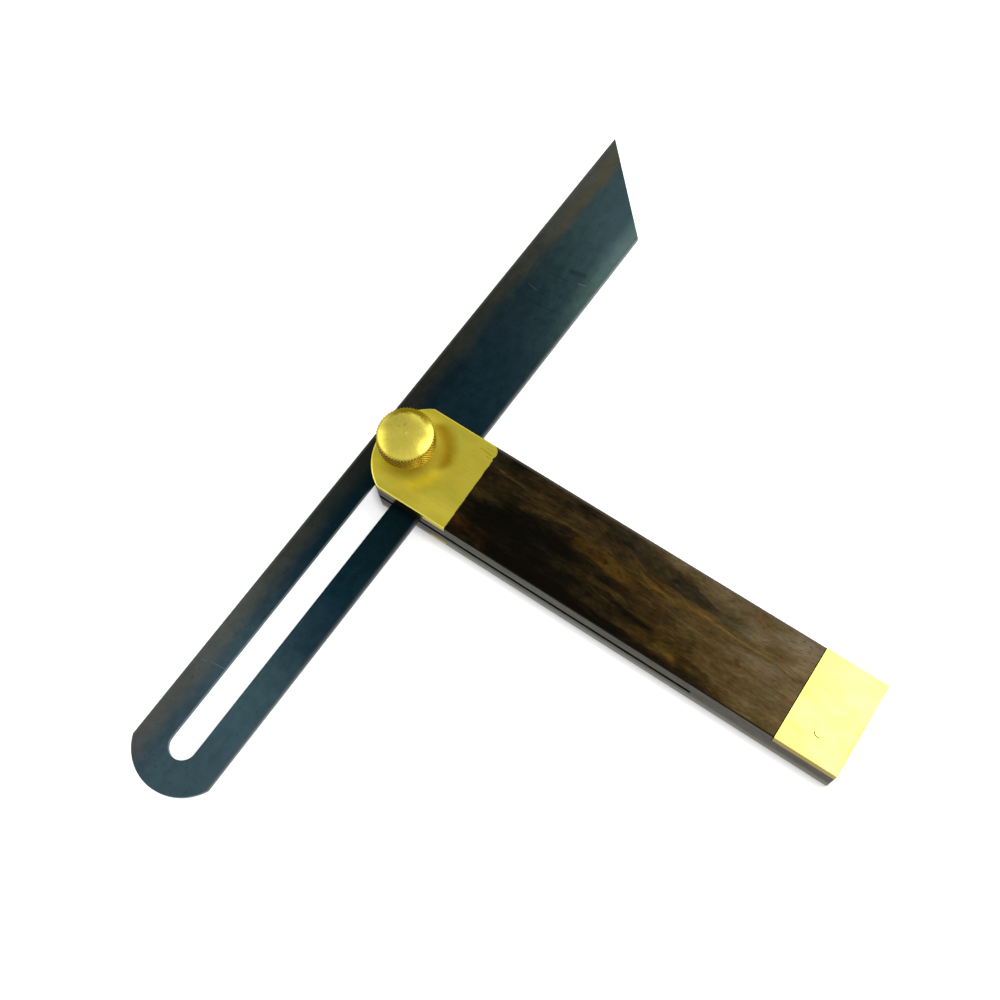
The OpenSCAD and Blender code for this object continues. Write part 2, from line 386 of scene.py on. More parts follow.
class Recipe:
    """A material whose nodes are added step by step. Places are in millimetres of the part's frame."""

    def __init__(self, name, **constants):
        self.material = bpy.data.materials.new(name)
        self.material.use_nodes = True
        self.tree = self.material.node_tree
        self.shader = self.tree.nodes["Principled BSDF"]
        self.finish(**constants)
        coordinates = self.node("ShaderNodeTexCoord").outputs["Object"]
        self.place = self.vector("SCALE", coordinates, None, None, 1 / MM)

    def node(self, kind, *inputs, **settings):
        """A node in this material."""
        return add_node(self.tree, kind, *inputs, **settings)

    def vector(self, operation, *values):
        """The result of a step of vector arithmetic."""
        made = self.node("ShaderNodeVectorMath", *values, operation=operation)
        return made.outputs["Value" if operation in ("DOT_PRODUCT", "LENGTH") else "Vector"]

    def math(self, operation, *values):
        """The result of a step of arithmetic."""
        return self.node("ShaderNodeMath", *values, operation=operation).outputs[0]

    def product(self, value, *others):
        """Values multiplied together."""
        for other in others:
            value = self.math("MULTIPLY", value, other)
        return value

    def total(self, start, *parts):
        """start plus each (value from 0 to 1, reach), whose middle counts as nothing."""
        for value, reach in parts:
            start = self.math("MULTIPLY_ADD", self.math("SUBTRACT", value, 0.5), reach, start)
        return start

    def turned(self, place, angle):
        """A place turned about Z by minus an angle, so that X runs along that direction."""
        made = self.node("ShaderNodeVectorRotate", place, None, None, -angle, rotation_type="Z_AXIS")
        return made.outputs[0]

    def axes(self, place):
        """A place's X, Y and Z."""
        return self.node("ShaderNodeSeparateXYZ", place).outputs

    def combine(self, x, y, z):
        """A place from its X, Y and Z."""
        return self.node("ShaderNodeCombineXYZ", x, y, z).outputs[0]

    def facing(self):
        """How far the surface faces up: 1 on top, 0 on a side and -1 below."""
        return self.axes(self.node("ShaderNodeNewGeometry").outputs["Normal"])[2]

    def noise(self, place, grain, detail=2.0, rough=0.5, shift=0.0):
        """Noise whose grains are about grain = (x, y, z) millimetres long."""
        stretched = self.vector("MULTIPLY", place, tuple(1 / g for g in grain))
        moved = self.vector("ADD", stretched, (shift, 0.7 * shift, 1.3 * shift))
        made = self.node("ShaderNodeTexNoise", moved)
        for name, value in (("Scale", 1.0), ("Detail", detail), ("Roughness", rough)):
            made.inputs[name].default_value = value
        return made.outputs["Fac"]

    def sway(self, place, grain, reach, shift=0.0):
        """A place moved sideways by up to half of reach, by noise."""
        offset = self.math("MULTIPLY_ADD", self.noise(place, grain, shift=shift), reach, -reach / 2)
        return self.vector("ADD", place, self.combine(0.0, offset, 0.0))

    def span(self, value, low, high, to_low=0.0, to_high=1.0):
        """value from low..high to to_low..to_high, eased at both ends and clamped."""
        if low > high:
            low, high, to_low, to_high = high, low, to_high, to_low
        made = self.node("ShaderNodeMapRange", value, low, high, to_low, to_high,
                         interpolation_type="SMOOTHSTEP")
        return made.outputs[0]

    def between(self, value, low, low_full, high_full, high):
        """1 where value lies from low_full to high_full, fading to 0 at low and at high."""
        return self.product(self.span(value, low, low_full), self.span(value, high_full, high, 1.0, 0.0))

    def mix(self, factor, a, b, blend="MIX"):
        """A colour mixed from two."""
        made = self.node("ShaderNodeMix", factor, data_type="RGBA", blend_type=blend)
        for socket, colour in zip(made.inputs[6:8], (a, b)):
            feed(socket, (*colour, 1) if isinstance(colour, tuple) else colour)
        return made.outputs[2]

    def tint(self, factor, colour, gain):
        """A colour multiplied by a gain for red, green and blue, as far as factor says."""
        return self.mix(factor, colour, gain, "MULTIPLY")

    def ramp(self, value, stops):
        """A colour from a list of (position, colour)."""
        made = self.node("ShaderNodeValToRGB", value)
        elements = made.color_ramp.elements
        while len(elements) < len(stops):
            elements.new(0.5)
        for element, (position, colour) in zip(elements, stops):
            element.position = position
            element.color = (*colour, 1)
        return made.outputs[0]

    def bump(self, height, depth):
        """A normal bent by a height from 0 to 1 that stands for depth millimetres."""
        made = self.node("ShaderNodeBump")
        made.inputs["Distance"].default_value = depth * MM
        feed(made.inputs["Height"], height)
        return made.outputs[0]

    def stroke(self, place, start, end, bow, width, soft=1.0):
        """1 along a bowed stroke between two points, fading to 0 at width from it and at its ends."""
        run = Vector(end) - Vector(start)
        along = run.normalized()
        across = Vector((-along.y, along.x))
        offset = self.vector("SUBTRACT", place, (*start, 0))
        u = self.vector("DOT_PRODUCT", offset, (*(along / run.length), 0))
        v = self.vector("DOT_PRODUCT", offset, (*across, 0))
        half = self.math("ABSOLUTE", self.math("SUBTRACT", u, 0.5))
        curve = self.math("MULTIPLY_ADD", self.product(half, half), -4.0 * bow, bow)
        gap = self.math("ABSOLUTE", self.math("SUBTRACT", v, curve))
        sides = self.span(gap, width * (1 - soft), width, 1.0, 0.0)
        return self.product(sides, self.span(half, 0.34, 0.5, 1.0, 0.0))

    def finish(self, **inputs):
        """Feeds the shader's sockets, and returns the material."""
        for socket, value in inputs.items():
            feed(self.shader.inputs[socket.replace("_", " ")], value)
        return self.material


# Figure of the upper face: (start, end, bow, half width, softness, change of tone)
WOOD_FIGURE = (
    ((20, -5.0), (54, -9.0), 2.0, 7.5, 0.5, -0.13),
    ((17, -9.5), (30, -9.6), 0.3, 3.0, 0.8, 0.12),
    ((19, 0.5), (34, 0.5), 0.6, 2.2, 0.8, 0.05),
    ((48, 8.8), (94, 5.2), 0.6, 2.6, 0.45, -0.13),
    ((94, 5.6), (103, 5.6), 0.0, 1.9, 0.8, -0.17),
    ((41, 8.9), (51, 8.5), 0.1, 0.35, 0.8, -0.12),
    ((53, -5.2), (73, -6.4), 0.5, 0.75, 0.7, -0.20),
    ((55, -8.7), (70, -9.5), -0.5, 0.6, 0.7, -0.20),
    ((52, -2.6), (66, -4.0), 0.4, 0.5, 0.8, -0.12),
    ((79, -8.0), (89, -9.1), 0.3, 0.9, 0.7, -0.18),
    ((90.4, -1.0), (92.2, -3.6), 0.0, 0.9, 0.8, -0.12),
    ((88, 1.9), (107, 0.9), 0.9, 0.45, 0.8, -0.12),
    ((19, 8.0), (29, 6.2), -0.2, 0.45, 0.7, 0.17),
    ((26, 6.3), (48, 5.4), 0.4, 0.9, 0.8, 0.08),
    ((28, 2.2), (51, 3.0), 0.7, 0.9, 0.8, 0.12),
    ((43, 1.2), (65, 0.4), 0.3, 1.9, 0.7, 0.15),
    ((60, 5.1), (75, 2.3), -0.3, 0.7, 0.7, 0.13),
    ((57, 1.8), (107, 1.4), 2.2, 0.36, 0.8, 0.09),
    ((73, -7.0), (81, -11.0), 0.6, 1.1, 0.9, 0.12),
    ((62, 9.6), (84, 8.0), 0.4, 0.5, 0.8, 0.12),
    ((22, -11.8), (98, -11.8), 0.0, 3.6, 0.8, -0.32),
    ((40, 6.4), (51, 6.6), 0.0, 2.2, 0.9, 0.10),
    ((30, 0.9), (47, 0.2), 0.0, 2.2, 0.9, -0.07),
    ((36, 11.2), (74, 11.2), 0.0, 2.2, 0.8, 0.13),
    ((66, 7.0), (90, 8.6), 0.0, 3.0, 0.8, -0.07),
    ((40, -1.8), (64, -1.6), 0.0, 2.0, 0.8, -0.07),
    ((38, -5.0), (64, -5.0), 0.0, 1.8, 0.9, 0.06),
    ((36, 0.3), (76, 0.0), 0.0, 2.4, 0.9, -0.05),
    ((14, 0.2), (28, 0.2), 0.0, 2.8, 0.9, 0.13),
    ((17, 10.5), (34, 10.8), 0.0, 1.4, 0.8, -0.09),
)

# Colour of parts of that figure: (start, end, bow, half width, gain of the colour)
WOOD_TINTS = (
    ((17, -9.0), (31, -9.6), 0.3, 3.2, (1.45, 0.88, 0.60)),
    ((48, 8.8), (94, 5.2), 0.6, 2.8, (0.86, 1.04, 1.30)),
    ((42, 1.2), (66, 0.2), 0.3, 2.4, (1.12, 0.98, 0.60)),
    ((58, 5.4), (76, 2.0), -0.3, 1.2, (1.06, 0.99, 0.68)),
    ((57, 1.8), (107, 1.4), 2.2, 0.9, (1.07, 0.98, 0.72)),
    ((66, -5.5), (86, -10.5), 0.6, 3.0, (0.98, 1.03, 0.70)),
    ((20, -3.5), (50, -6.0), 2.0, 4.0, (0.86, 1.07, 1.03)),
    ((26, -11.2), (90, -11.2), 0.0, 3.4, (1.02, 0.88, 0.62)),
    ((66, 0.0), (104, 0.0), 0.0, 3.2, (0.98, 1.02, 1.26)),
)


def make_wood():
    """Dark, figured hardwood, oiled: wavy streaks, fine dark pores, cloudy light and dark figure, and
    painted shade and light on its kerf, sides and edges.
    """
    r = Recipe("figured_wood", IOR=1.13, Specular_Tint=(1.0, 0.8, 0.5, 1.0))
    x, y, z = r.axes(r.place)
    bent = r.sway(r.place, (38, 14, 14), 7.0)
    flow = r.sway(bent, (7, 3.5, 4), 1.3, shift=3.0)
    broad = r.noise(bent, (20, 2.8, 3.5), detail=3.0, shift=4.0)
    streaks = r.noise(flow, (7, 0.9, 1.1), detail=4.0, rough=0.6)
    fibres = r.noise(flow, (2.4, 0.27, 0.4), detail=3.0, rough=0.65, shift=2.0)
    mottle = r.noise(flow, (1.6, 0.7, 0.8), detail=3.0, rough=0.6, shift=15.0)
    ticks = r.noise(flow, (1.9, 0.19, 0.25), detail=1.0, shift=7.0)
    clouds = r.noise(bent, (7, 3.6, 5), detail=4.0, rough=0.6, shift=9.0)

    # Darker at the head and lighter at the tail
    tone = r.math("ADD", r.span(x, 34, 110, 0.20, 0.82), r.span(y, -12, 12, -0.10, 0.08))
    tone = r.total(tone, (broad, 0.42), (streaks, 0.30), (fibres, 0.36), (clouds, 0.54), (mottle, 0.24))

    on_top = r.span(z, STOCK_T - 3.0, STOCK_T - 0.1)
    ragged = r.sway(flow, (4, 0.5, 0.8), 1.6, shift=11.0)
    for start, end, bow, width, soft, change in WOOD_FIGURE:
        mark = r.product(r.stroke(ragged, start, end, bow, width, soft), on_top)
        tone = r.math("MULTIPLY_ADD", mark, change, tone)

    colour = r.ramp(tone, (
        (0.0, (0.0010, 0.0008, 0.0005)),
        (0.12, (0.0030, 0.0023, 0.0011)),
        (0.26, (0.0108, 0.0068, 0.0022)),
        (0.42, (0.0285, 0.0163, 0.0042)),
        (0.60, (0.0590, 0.0365, 0.0098)),
        (0.80, (0.0990, 0.0670, 0.0250)),
        (1.0, (0.1520, 0.1110, 0.0490)),
    ))

    # Patches of red, olive and grey, the tints, and the pores
    red = r.span(r.noise(bent, (6, 2.2, 4), detail=3.0, shift=21.0), 0.50, 0.64)
    colour = r.tint(r.product(red, 0.5), colour, (1.15, 0.88, 0.66))
    olive = r.span(r.noise(flow, (7, 1.6, 3), detail=3.0, shift=33.0), 0.50, 0.64)
    colour = r.tint(r.product(olive, 0.5), colour, (0.90, 1.03, 0.75))
    grey = r.product(r.span(y, 1, 8), r.span(x, 15, 65, 0.3, 1.0))
    grey = r.math("MAXIMUM", grey, r.span(x, 65, 105, 0.0, 0.55))
    colour = r.tint(r.product(grey, on_top), colour, (0.96, 1.03, 1.45))
    for start, end, bow, width, gain in WOOD_TINTS:
        mark = r.product(r.stroke(ragged, start, end, bow, width, 0.8), on_top)
        colour = r.tint(mark, colour, gain)
    pores = r.span(ticks, 0.58, 0.70)
    colour = r.tint(r.product(pores, 0.55), colour, (0.22, 0.18, 0.15))

    facing = r.facing()

    # Painted shade and light: dark in the kerf, sides near-black beside the head and pale at their foot, a
    # dark near edge and a pale far one
    # Painted shade: the kerf's lower face darkened to near black
    in_kerf = r.product(r.span(facing, 0.6, 0.9), r.span(z, 9, 7))
    colour = r.mix(in_kerf, colour, (0.0016, 0.0012, 0.0008))
    side = r.span(facing, 0.6, 0.2)
    cheek_tone_and_shade = r.mix(r.span(x, 50, 100), (0.026, 0.029, 0.010), (0.017, 0.014, 0.005))
    # Painted shade: the sides near-black beside the head
    cheek_tone_and_shade = r.mix(r.span(x, 13, 17, 0.85, 0.0), cheek_tone_and_shade, (0.0015, 0.002, 0.001))
    cheek_tone_and_shade = r.mix(r.span(fibres, 0.35, 0.65, 0.0, 0.3), cheek_tone_and_shade, colour)
    below_edge = r.span(z, STOCK_T - 1.4, STOCK_T - 0.8, 1.0, 0.4)
    colour = r.mix(r.product(side, below_edge), colour, cheek_tone_and_shade)
    # Painted light: the sides paler towards their foot, hardly at all beside the head
    pale = r.mix(r.span(x, 90, 105), (0.19, 0.19, 0.165), (0.175, 0.165, 0.115))
    amount = r.product(side, r.span(z, 5.4, 0.5), r.span(x, 13, 20, 0.03, 0.9))
    colour = r.mix(amount, colour, pale)
    # Painted shade: a dark line along the near top edge
    near_edge = r.product(r.span(y, -11.5, -11.85), r.span(z, STOCK_T - 0.8, STOCK_T - 0.4))
    colour = r.mix(r.product(near_edge, 0.95), colour, (0.005, 0.0035, 0.0015))
    # Painted highlight: a pale line along the far top edge
    far_edge = r.product(r.span(y, 11.0, 11.7), on_top)
    colour = r.mix(r.product(far_edge, 0.6), colour, (0.080, 0.074, 0.062))

    height = r.math("SUBTRACT", fibres, r.product(pores, 0.8))
    finish = r.span(streaks, 0.3, 0.7, 0.30, 0.42)
    return r.finish(Base_Color=colour, Roughness=finish, Normal=r.bump(height, 0.02))


# Stains, scratches and lighter bands on the plates, and round the knob painted shadow and reflection:
# (start, end, bow, half width, strength, gain of the colour)
HEAD_PLATE_MARKS = (
    ((13.8, 9.5), (17.7, 9.1), 0.1, 0.16, 0.6, (0.35, 0.25, 0.10)),
    ((15.2, 10.4), (17.6, 10.1), 0.1, 0.12, 0.5, (0.35, 0.25, 0.10)),
    ((16.3, 8.6), (17.9, 8.4), 0.0, 0.14, 0.7, (0.35, 0.25, 0.10)),
    # The next four rows are painted shadow and reflection of the knob: a dark orange arc on its +X +Y side,
    # a lighter orange arc on its +X -Y side, a pale arc on its -Y side and a small dark patch on its +X side
    ((1.0, 9.6), (9.6, -1.2), 2.6, 3.4, 1.0, (0.59, 0.455, 0.18)),
    ((4.0, -8.6), (9.4, -0.6), -1.0, 2.4, 1.0, (1.12, 1.12, 0.68)),
    ((4.4, -6.4), (-6.6, -7.4), -1.6, 2.4, 0.8, (1.14, 1.16, 0.80)),
    ((8.4, 4.2), (10.0, 1.8), 0.3, 0.9, 0.25, (0.62, 0.52, 0.35)),
    ((-9.0, -9.6), (21.5, -9.2), 0.0, 4.0, 1.0, (1.18, 1.18, 1.24)),
    ((9.0, 11.0), (10.4, -3.0), 0.0, 3.0, 0.35, (0.95, 1.00, 1.05)),
)
TAIL_PLATE_MARKS = (
    ((113.8, 5.5), (115.0, 5.2), 0.0, 0.4, 0.3, (0.50, 0.52, 0.45)),
    ((121.6, -11.0), (121.7, 2.0), 0.1, 0.5, 0.3, (0.50, 0.38, 0.30)),
)


def make_plate_brass(name, colour, cloudy, side_shade_colour, roughness, marks):
    """Brass sanded flush with the wood: fine lines along the stock, cloudy tarnish, the given marks, and
    painted shade and highlight on its sides and near edge.
    """
    r = Recipe(name, Metallic=1.0, Specular_Tint=(0.85, 0.75, 0.6, 1.0))
    x, y, z = r.axes(r.place)
    lines = r.noise(r.place, (12, 0.6, 0.6), detail=1.0)
    clouds = r.noise(r.place, (7, 5, 5), detail=2.0, shift=8.0)
    haze = r.noise(r.place, (5, 3.5, 3.5), detail=2.0, shift=28.0)
    shade = r.mix(r.span(clouds, 0.35, 0.65), colour, cloudy)
    shade = r.tint(r.span(haze, 0.45, 0.65, 0.0, 0.6), shade, (0.88, 0.90, 0.85))
    shade = r.tint(r.span(lines, 0.35, 0.7, 0.0, 0.14), shade, (0.75, 0.70, 0.6))
    shaken = r.sway(r.place, (0.8, 0.8, 1), 0.4)
    for start, end, bow, width, strength, gain in marks:
        mark = r.stroke(shaken, start, end, bow, width)
        shade = r.tint(r.product(mark, strength), shade, gain)
    facing = r.facing()

    # Painted light and shade: a painted highlight on the eased near edge, sides painted darker as shade but
    # lighter again on the head plate past the knob, and the lower plate's sides darkest, near-black beside
    # the head
    edge_highlight = r.product(r.span(facing, 0.98, 0.85), r.span(y, -6, -9))
    shade = r.mix(r.product(edge_highlight, 0.5), shade, (0.85, 0.80, 0.24))
    # Painted shade: the sides take the darker side colour, lighter again on the head plate past the knob
    side = r.mix(r.product(r.span(x, 5, 11, 0.0, 0.7), r.span(x, 40, 30)), side_shade_colour, colour)
    # Painted shade: the lower plate's sides darker still, near-black beside the head
    below = r.mix(r.span(x, 12.5, 14.5), (0.018, 0.017, 0.008), (0.26, 0.22, 0.035))
    side = r.mix(r.span(z, 7, 5), side, below)
    shade = r.mix(r.span(facing, 0.4, 0.15), shade, side)
    amount = r.total(r.span(clouds, 0.3, 0.7, roughness, roughness + 0.05), (lines, 0.03))

    # Rougher under the knob and round it
    from_axis = r.vector("LENGTH", r.vector("MULTIPLY", r.place, (1, 1, 0)))
    amount = r.math("ADD", amount, r.span(from_axis, 12, 8, 0.0, 0.2))
    return r.finish(Base_Color=shade, Roughness=amount)


def make_turned_brass(name, colour, roughness, knurl=None):
    """Brass from the lathe, with fine rings. knurl = (radius, low, high) gives a knurled band with grime in
    its grooves, painted shade where it meets the dome and on one side, and the knob's rim darker on one
    side.
    """
    r = Recipe(name, Metallic=1.0, Anisotropic=0.5, Anisotropic_Rotation=0.25,
               Specular_Tint=(0.85, 0.70, 0.45, 1.0))
    x, y, z = r.axes(r.place)
    radius = r.math("SQRT", r.math("ADD", r.product(x, x), r.product(y, y)))
    rings = r.noise(r.combine(radius, 0.0, z), (0.10, 1, 0.10), detail=2.0)
    stains = r.noise(r.place, (0.8, 0.6, 0.8), detail=3.0, rough=0.6, shift=3.0)
    near = r.between(radius, 0.6, 1.0, 2.1, 3.0)
    spots = r.product(r.span(stains, 0.56, 0.68), near, r.span(y, -0.6, 0.4), 0.8)
    shade = r.mix(spots, colour, (0.22, 0.18, 0.02))
    shade = r.tint(r.span(rings, 0.45, 0.75, 0.0, 0.16), shade, (0.5, 0.4, 0.2))
    outward = r.vector("NORMALIZE", r.combine(x, y, 0.0))
    rays = r.combine(*r.axes(outward)[:2], r.product(radius, 0.05))
    rays = r.span(r.noise(rays, (0.12, 0.12, 0.12), shift=5.0), 0.4, 0.7, 0.0, 0.22)
    rays = r.product(rays, r.span(radius, 0.8, 3.5))
    shade = r.tint(rays, shade, (0.72, 0.68, 0.5))
    if knurl:
        reach, low, high = knurl
        # The knob's rim darker on one side, from about 5 mm out
        dark_rim = r.span(r.vector("DOT_PRODUCT", outward, DARK_RIM_SIDE), 0.3, 0.95)
        dark_rim = r.product(dark_rim, r.span(r.total(radius, (stains, 1.6)), 4.6, 5.8))
        shade = r.tint(dark_rim, shade, (0.26, 0.23, 0.04))
        # Painted shade: a dark ring where the band meets the dome
        collar = r.between(z, high - 0.5, high - 0.25, high + 0.05, high + 0.3)
        shade = r.mix(r.product(collar, 0.75), shade, (0.26, 0.17, 0.012))
        band = r.between(z, low - 0.05, low + 0.05, high - 0.25, high)
        shade = r.mix(r.product(band, 0.5), shade, (0.66, 0.42, 0.05))
        inside = r.span(radius, reach - KNURL_DEPTH, reach - 0.10, 1.0, 0.0)
        shade = r.mix(r.product(inside, band, 0.92), shade, (0.085, 0.040, 0.008))
        # Painted shade: the band darker on one side
        dark = r.span(r.vector("DOT_PRODUCT", outward, DARK_SIDE), 0.3, 0.9)
        shade = r.tint(r.product(dark, band), shade, (0.30, 0.22, 0.12))
    return r.finish(Base_Color=shade, Roughness=r.total(roughness, (stains, 0.10)))


# Marks on the blade, along it and across it: (start, end, half width, strength)
BLADE_DARK_MARKS = (
    ((64.0, -1.5), (65.2, -7.0), 1.2, 0.45),
    ((60.5, 3.0), (61.5, -4.0), 0.35, 0.35),
    ((27.0, 8.5), (26.8, -0.5), 0.25, 0.45),
    ((51.5, 5.0), (52.0, -6.0), 0.25, 0.35),
)
BLADE_LIGHT_MARKS = (
    ((62.2, -5.7), (62.8, -8.2), 0.22, 0.55),
    ((-66.5, 7.6), (-65.8, 3.0), 0.16, 0.45),
    ((-67.2, 9.6), (-66.9, 7.9), 0.20, 0.25),
    ((55.2, 4.8), (54.6, 1.2), 0.14, 0.30),
)


def make_blued_steel():
    """Blued strip steel: deep blue to slate and teal, brown along the long edge, with pale worn edges, and
    painted reflection towards its ends and painted shade beside the head.
    """
    r = Recipe("blued_steel", Metallic=1.0)
    place = r.turned(r.place, BLADE_ANGLE)
    x, y, z = r.axes(place)
    clouds = r.noise(place, (9, 6, 6), detail=4.0, rough=0.6, shift=2.0)
    patches = r.noise(place, (2.8, 2.0, 2.0), detail=4.0, rough=0.65, shift=12.0)
    grit = r.noise(place, (0.5, 0.35, 0.35), detail=2.0, rough=0.6, shift=6.0)

    # Lighter towards both ends and darkest beside the head: painted reflection towards the ends and painted
    # shade beside the head, over the blueing's own clouds and patches
    slanted = r.math("MULTIPLY_ADD", y, -0.7, x)
    tone = r.span(slanted, -72, -22, 0.96, 0.0)
    for lighter in (
        r.product(r.span(x, -10, 100, 0.0, 0.62), r.span(slanted, -8, 4)),
        r.span(x, 0, 12, 0.0, 0.1),
        r.span(x, 54, 88, 0.0, 0.28),
    ):
        tone = r.math("ADD", tone, lighter)
    tone = r.math("MULTIPLY_ADD", r.product(y, r.span(x, 10, 80)), -0.022, tone)
    tone = r.total(tone, (clouds, 0.38), (patches, 0.28), (grit, 0.12))
    blue = r.ramp(tone, (
        (0.0, (0.0033, 0.0137, 0.0176)),
        (0.2, (0.0070, 0.0210, 0.0300)),
        (0.4, (0.0128, 0.0285, 0.0380)),
        (0.6, (0.0220, 0.0440, 0.0510)),
        (0.8, (0.0315, 0.0605, 0.0680)),
        (1.0, (0.0410, 0.0740, 0.0870)),
    ))
    green = r.product(r.span(x, 30, 66), r.span(r.total(y, (clouds, 3.0)), -5, -10.5))
    blue = r.tint(green, blue, (2.3, 2.1, 1.75))

    # Brown along the long edge
    wavering = r.total(y, (clouds, 5.0), (patches, 1.2))
    straw = r.ramp(tone, (
        (0.0, (0.0190, 0.0230, 0.0180)),
        (0.35, (0.0340, 0.0370, 0.0300)),
        (0.6, (0.0520, 0.0570, 0.0450)),
        (1.0, (0.0760, 0.0860, 0.0760)),
    ))
    colour = r.mix(r.span(wavering, 4.3, 9.5), blue, straw)
    bronze = r.product(r.between(wavering, 4.2, 6.6, 6.6, 9.4), r.span(x, 58, 88), 0.6)
    colour = r.mix(bronze, colour, (0.085, 0.066, 0.032))

    # Specks, pits and scratches
    specks = r.span(r.noise(place, (0.45, 0.35, 0.35), detail=0.0, shift=17.0), 0.72, 0.80)
    colour = r.mix(r.product(specks, 0.08), colour, (0.12, 0.16, 0.16))
    pits = r.span(r.noise(place, (0.6, 0.5, 0.5), detail=0.0, shift=41.0), 0.74, 0.82)
    colour = r.mix(r.product(pits, 0.35), colour, (0.003, 0.009, 0.012))
    above = r.span(z, BLADE_LOW.z + 0.7, BLADE_HIGH.z - 0.1)
    shaken = r.sway(place, (0.8, 0.8, 1), 0.3)
    looks = ((BLADE_DARK_MARKS, (0.004, 0.012, 0.015)), (BLADE_LIGHT_MARKS, (0.16, 0.22, 0.21)))
    for marks, shade in looks:
        for start, end, width, strength in marks:
            mark = r.product(r.stroke(shaken, start, end, 0.0, width), above)
            colour = r.mix(r.product(mark, strength), colour, shade)

    # Painted light and shade: lighter at the slotted end and a little lighter past the head, and darker
    # along its long edge near the head
    for mask, gain in (
        (r.span(slanted, -30, -10, 1.0, 0.0), (1.28, 1.32, 1.35)),
        (r.between(slanted, -84, -58, -26, -8), (1.12, 1.16, 1.18)),
        (r.span(x, 8, 16), (1.04, 1.02, 0.97)),
        (r.product(r.span(x, 10, 16), r.span(y, 2, -2)), (1.04, 1.08, 1.10)),
        (r.product(r.span(x, 34, 24), r.span(y, 2, 5)), (0.90, 0.84, 0.86)),
    ):
        colour = r.tint(mask, colour, gain)
    edge = r.span(r.math("ABSOLUTE", y), BLADE_W / 2 - 0.9, BLADE_W / 2 - 0.1)
    colour = r.mix(r.product(edge, 0.55), colour, (0.115, 0.125, 0.118))
    finish = r.total(r.span(patches, 0.3, 0.7, 0.34, 0.42), (grit, 0.08))
    return r.finish(Base_Color=colour, Roughness=finish, Normal=r.bump(grit, 0.004))


def make_bare_steel():
    """Machined steel with fine marks round the axis."""
    r = Recipe("bare_steel", Metallic=1.0)
    marks = r.noise(r.place, (2.5, 2.5, 0.08), detail=3.0)
    shade = r.mix(r.span(marks, 0.35, 0.7), (0.42, 0.41, 0.40), (0.60, 0.60, 0.60))
    amount = r.span(marks, 0.3, 0.7, 0.25, 0.40)
    return r.finish(Base_Color=shade, Roughness=amount, Normal=r.bump(marks, 0.004))


def make_filler():
    """Black glue and wood dust between a plate and the wood, also used as painted shade in the nick beside a
    tail pin.
    """
    r = Recipe("joint_filler", IOR=1.3)
    grit = r.noise(r.place, (0.35, 0.35, 0.35), detail=4.0)
    shade = r.mix(grit, (0.0012, 0.0008, 0.0005), (0.009, 0.006, 0.003))
    return r.finish(Base_Color=shade, Roughness=r.span(grit, 0.3, 0.7, 0.7, 0.9), Normal=r.bump(grit, 0.06))


def place_piece(piece, body, slot, material, *nodes):
    """Gives a piece its material and body, and lets it stand for CAD nodes."""
    piece.data.materials.clear()
    piece.data.materials.append(material)
    for face in piece.data.polygons:
        face.material_index = 0
    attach(piece, body)
    if nodes:
        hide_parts(*nodes)


def envelope(name, far_ease, near_ease):
    """The stock's whole outside with eased edges, which the wood and the plates are all cut from."""
    half = STOCK_W / 2
    head = arc((HEAD_CENTRE_X, 0), HEAD_R, math.pi - HEAD_HALF_ANGLE, math.pi + HEAD_HALF_ANGLE)
    body = slab(name, [(TAIL_X, half), *head, (TAIL_X, -half)], 0, STOCK_T)

    def width_at(middle):
        if middle.z < LEVEL:
            return LOWER_EASE
        if middle.z > STOCK_T - LEVEL:
            return far_ease if middle.y > half - LEVEL else near_ease
        return SMALL_EASE

    ease(body, width_at)
    return body


def head_edge(gap, seed, rag, tear):
    """The head plates' straight edge and eased corner, from the -Y side round to +Y, grown by a gap."""
    half = STOCK_W / 2
    corner = (HEAD_PLATE_HIGH.x - PLATE_CORNER_R, half - PLATE_CORNER_R)
    count = round((half + corner[1]) / EDGE_STEP)
    straight = [(HEAD_PLATE_HIGH.x + gap, -half + (half + corner[1]) * i / count) for i in range(count)]
    points = []
    for x, y in straight + arc(corner, PLATE_CORNER_R + gap, 0, math.pi / 2):
        fade = min(1, (half + EDGE_STEP - y) / RAG_FADE)
        offset = waver(seed, y, RAG_FINE, rag) + waver(seed + 3, y, RAG_COARSE, rag)
        offset += tear * math.exp(-((y - TEAR_Y) / TEAR_REACH) ** 2)
        points.append((x + fade * offset, y))
    return points


def plate_edge(edges, lap=0.0):
    """A head plate's own ragged edge, drawn back by a lap."""
    return head_edge(-lap, edges["plate_seed"], PLATE_RAG, edges["plate_tear"])


def wood_edge(edges, lap=0.0):
    """The wood's ragged edge beside a head plate, moved out by a lap."""
    return head_edge(HEAD_GAP + lap, edges["wood_seed"], WOOD_RAG, edges["wood_tear"])


def head_side(edge, low, high):
    """Everything on the head side of an edge, used to cut the wood with."""
    outline = [(-FAR, -FAR), (edge[0][0], -FAR), *edge, (edge[-1][0], FAR), (-FAR, FAR)]
    return slab("head_side", outline, low, high)


def tail_side(edge, low, high):
    """Everything on the tail side of an edge, used to cut a plate with."""
    past = FAR + TAIL_X
    outline = [(past, -FAR), (past, FAR), (edge[-1][0], FAR), *reversed(edge), (edge[0][0], -FAR)]
    return slab("tail_side", outline, low, high)


